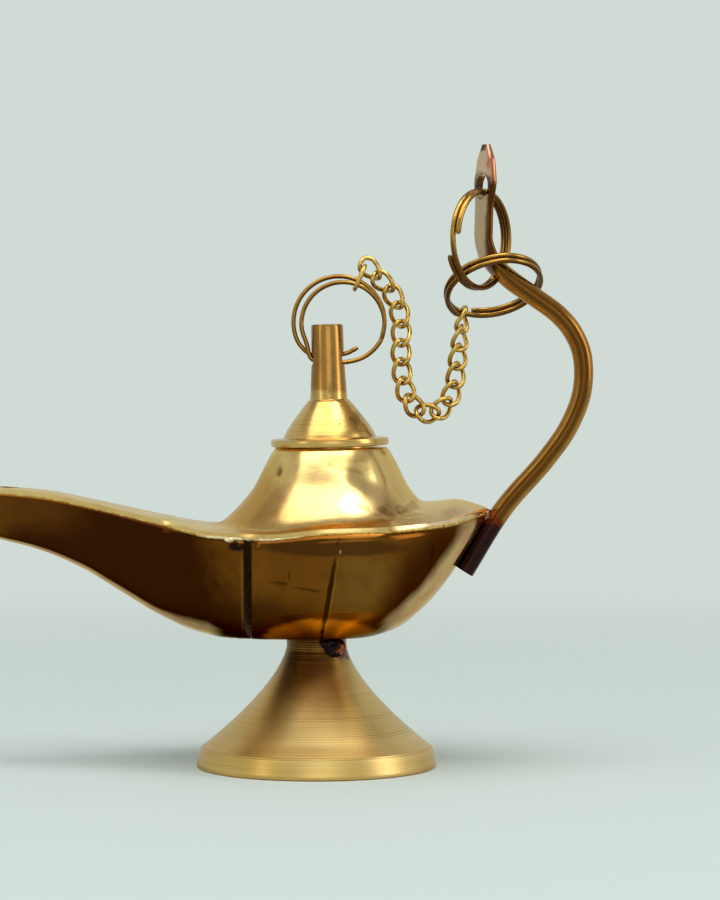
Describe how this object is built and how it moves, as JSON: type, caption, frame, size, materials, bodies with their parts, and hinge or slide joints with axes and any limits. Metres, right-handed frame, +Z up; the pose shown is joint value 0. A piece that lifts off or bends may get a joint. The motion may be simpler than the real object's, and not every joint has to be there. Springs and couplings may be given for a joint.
{
  "type": "oil lamp",
  "caption": "Footed brass oil lamp with a leaf-shaped bowl, long wick spout, lift-off lid on a curb chain and a bent handle with split rings.",
  "frame": {"origin": "middle of the lamp's length and width, on the surface it stands on", "axes": "+Z up, -X towards the spout's tip, +X towards the handle"},
  "size_m": [0.1228, 0.05, 0.1244],
  "materials": {
    "turned_brass": "polished",
    "sheet_brass": "polished",
    "handle_brass": "satin",
    "wire_brass": "satin"
  },
  "bodies": {
    "lamp": {"foot": "turned_brass", "bowl_shell": "sheet_brass", "spout_trough": "sheet_brass", "top_shell": "sheet_brass", "handle": "handle_brass"},
    "lid": {"lid": "turned_brass"},
    "lid_ring": {"lid_ring": "wire_brass"},
    "hood_ring": {"hood_ring": "wire_brass"},
    "rod_ring": {"rod_ring": "wire_brass"},
    "chain_link_01": {"chain_link_01": "wire_brass"},
    "chain_link_02": {"chain_link_02": "wire_brass"},
    "chain_link_03": {"chain_link_03": "wire_brass"},
    "chain_link_04": {"chain_link_04": "wire_brass"},
    "chain_link_05": {"chain_link_05": "wire_brass"},
    "chain_link_06": {"chain_link_06": "wire_brass"},
    "chain_link_07": {"chain_link_07": "wire_brass"},
    "chain_link_08": {"chain_link_08": "wire_brass"},
    "chain_link_09": {"chain_link_09": "wire_brass"},
    "chain_link_10": {"chain_link_10": "wire_brass"},
    "chain_link_11": {"chain_link_11": "wire_brass"},
    "chain_link_12": {"chain_link_12": "wire_brass"},
    "chain_link_13": {"chain_link_13": "wire_brass"},
    "chain_link_14": {"chain_link_14": "wire_brass"},
    "chain_link_15": {"chain_link_15": "wire_brass"},
    "chain_link_16": {"chain_link_16": "wire_brass"},
    "chain_link_17": {"chain_link_17": "wire_brass"}
  },
  "joints": [
    {"name": "lid_lift", "type": "slide", "parent": "lamp", "child": "lid", "axis": [0, 0, 1], "range_m": [0, 0.008]},
    {"name": "lid_ring_swing", "type": "hinge", "parent": "lid", "child": "lid_ring", "pos_m": [0.00835, 0, 0.08178], "axis": [0.9997, 0, 0.0244], "range_deg": [-4, 4]},
    {"name": "chain_link_01_tilt", "type": "hinge", "parent": "lid_ring", "child": "chain_link_01", "pos_m": [0.01432, 0, 0.09688], "axis": [-0.9135, 0, 0.4067], "range_deg": [-3, 3]},
    {"name": "hood_ring_turn", "type": "hinge", "parent": "lamp", "child": "hood_ring", "pos_m": [0.03978, 0, 0.10542], "axis": [0, 0, 1], "range_deg": [-3.14, 3.14]},
    {"name": "rod_ring_turn", "type": "hinge", "parent": "lamp", "child": "rod_ring", "pos_m": [0.03978, 0, 0.0961], "axis": [0, 0, 1], "range_deg": [-3.14, 3.14]},
    {"name": "chain_link_17_swing", "type": "hinge", "parent": "rod_ring", "child": "chain_link_17", "pos_m": [0.03589, 0.00863, 0.09144], "axis": [-0.3885, 0.9214, 0], "range_deg": [-0.5, 3.53]},
    {"name": "chain_link_16_swing", "type": "hinge", "parent": "chain_link_17", "child": "chain_link_16", "pos_m": [0.03527, 0.00837, 0.0877], "axis": [-0.3885, 0.9214, 0], "range_deg": [-0.5, 12.12]},
    {"name": "chain_link_15_swing", "type": "hinge", "parent": "chain_link_16", "child": "chain_link_15", "pos_m": [0.03481, 0.00818, 0.08394], "axis": [-0.3885, 0.9214, 0], "range_deg": [-0.5, 9.74]},
    {"name": "chain_link_14_swing", "type": "hinge", "parent": "chain_link_15", "child": "chain_link_14", "pos_m": [0.03441, 0.00801, 0.08017], "axis": [-0.3885, 0.9214, 0], "range_deg": [-0.5, 3.55]},
    {"name": "chain_link_13_swing", "type": "hinge", "parent": "chain_link_14", "child": "chain_link_13", "pos_m": [0.03396, 0.00782, 0.07641], "axis": [-0.3885, 0.9214, 0], "range_deg": [-0.5, 2.19]},
    {"name": "chain_link_12_swing", "type": "hinge", "parent": "chain_link_13", "child": "chain_link_12", "pos_m": [0.03274, 0.00731, 0.07287], "axis": [-0.3885, 0.9214, 0], "range_deg": [-0.5, 1.77]},
    {"name": "chain_link_11_swing", "type": "hinge", "parent": "chain_link_12", "child": "chain_link_11", "pos_m": [0.03009, 0.00619, 0.07041], "axis": [-0.3885, 0.9214, 0], "range_deg": [-0.5, 2.21]},
    {"name": "chain_link_10_swing", "type": "hinge", "parent": "chain_link_11", "child": "chain_link_10", "pos_m": [0.02661, 0.00472, 0.07079], "axis": [-0.3885, 0.9214, 0], "range_deg": [-1.74, 0.5]},
    {"name": "chain_link_09_swing", "type": "hinge", "parent": "chain_link_10", "child": "chain_link_09", "pos_m": [0.02431, 0.00375, 0.07364], "axis": [-0.3885, 0.9214, 0], "range_deg": [-5.82, 0.5]},
    {"name": "chain_link_08_swing", "type": "hinge", "parent": "chain_link_09", "child": "chain_link_08", "pos_m": [0.02332, 0.00333, 0.07728], "axis": [-0.3885, 0.9214, 0], "range_deg": [-11.12, 0.5]},
    {"name": "chain_link_07_swing", "type": "hinge", "parent": "chain_link_08", "child": "chain_link_07", "pos_m": [0.02302, 0.00321, 0.08105], "axis": [-0.3885, 0.9214, 0], "range_deg": [-8.68, 0.5]},
    {"name": "chain_link_06_swing", "type": "hinge", "parent": "chain_link_07", "child": "chain_link_06", "pos_m": [0.02299, 0.0032, 0.08485], "axis": [-0.3885, 0.9214, 0], "range_deg": [-4.61, 0.5]},
    {"name": "chain_link_05_swing", "type": "hinge", "parent": "chain_link_06", "child": "chain_link_05", "pos_m": [0.02309, 0.00324, 0.08864], "axis": [-0.3885, 0.9214, 0], "range_deg": [-0.5, 1.64]},
    {"name": "chain_link_04_swing", "type": "hinge", "parent": "chain_link_05", "child": "chain_link_04", "pos_m": [0.02244, 0.00296, 0.09237], "axis": [-0.3885, 0.9214, 0], "range_deg": [-0.5, 2.89]},
    {"name": "chain_link_03_swing", "type": "hinge", "parent": "chain_link_04", "child": "chain_link_03", "pos_m": [0.0207, 0.00223, 0.09566], "axis": [-0.3885, 0.9214, 0], "range_deg": [-0.5, 1.84]},
    {"name": "chain_link_02_swing", "type": "hinge", "parent": "chain_link_03", "child": "chain_link_02", "pos_m": [0.01809, 0.00113, 0.09818], "axis": [-0.3885, 0.9214, 0], "range_deg": [-0.5, 0.96]}
  ],
  "couplings": [
    {"joint": "hood_ring_turn", "follows": "lid_ring_swing", "ratio": 0.7726},
    {"joint": "rod_ring_turn", "follows": "lid_ring_swing", "ratio": 0.7726},
    {"joint": "chain_link_17_swing", "follows": "lid_lift", "rad_per_m": 6.6078},
    {"joint": "chain_link_16_swing", "follows": "lid_lift", "rad_per_m": 25.36},
    {"joint": "chain_link_15_swing", "follows": "lid_lift", "rad_per_m": 20.164},
    {"joint": "chain_link_14_swing", "follows": "lid_lift", "rad_per_m": 6.6445},
    {"joint": "chain_link_13_swing", "follows": "lid_lift", "rad_per_m": 3.688},
    {"joint": "chain_link_12_swing", "follows": "lid_lift", "rad_per_m": 2.7794},
    {"joint": "chain_link_11_swing", "follows": "lid_lift", "rad_per_m": 3.7372},
    {"joint": "chain_link_10_swing", "follows": "lid_lift", "rad_per_m": -2.7096},
    {"joint": "chain_link_09_swing", "follows": "lid_lift", "rad_per_m": -11.608},
    {"joint": "chain_link_08_swing", "follows": "lid_lift", "rad_per_m": -23.159},
    {"joint": "chain_link_07_swing", "follows": "lid_lift", "rad_per_m": -17.848},
    {"joint": "chain_link_06_swing", "follows": "lid_lift", "rad_per_m": -8.9607},
    {"joint": "chain_link_05_swing", "follows": "lid_lift", "rad_per_m": 2.4792},
    {"joint": "chain_link_04_swing", "follows": "lid_lift", "rad_per_m": 5.2198},
    {"joint": "chain_link_03_swing", "follows": "lid_lift", "rad_per_m": 2.9155},
    {"joint": "chain_link_02_swing", "follows": "lid_lift", "rad_per_m": 1.011}
  ]
}
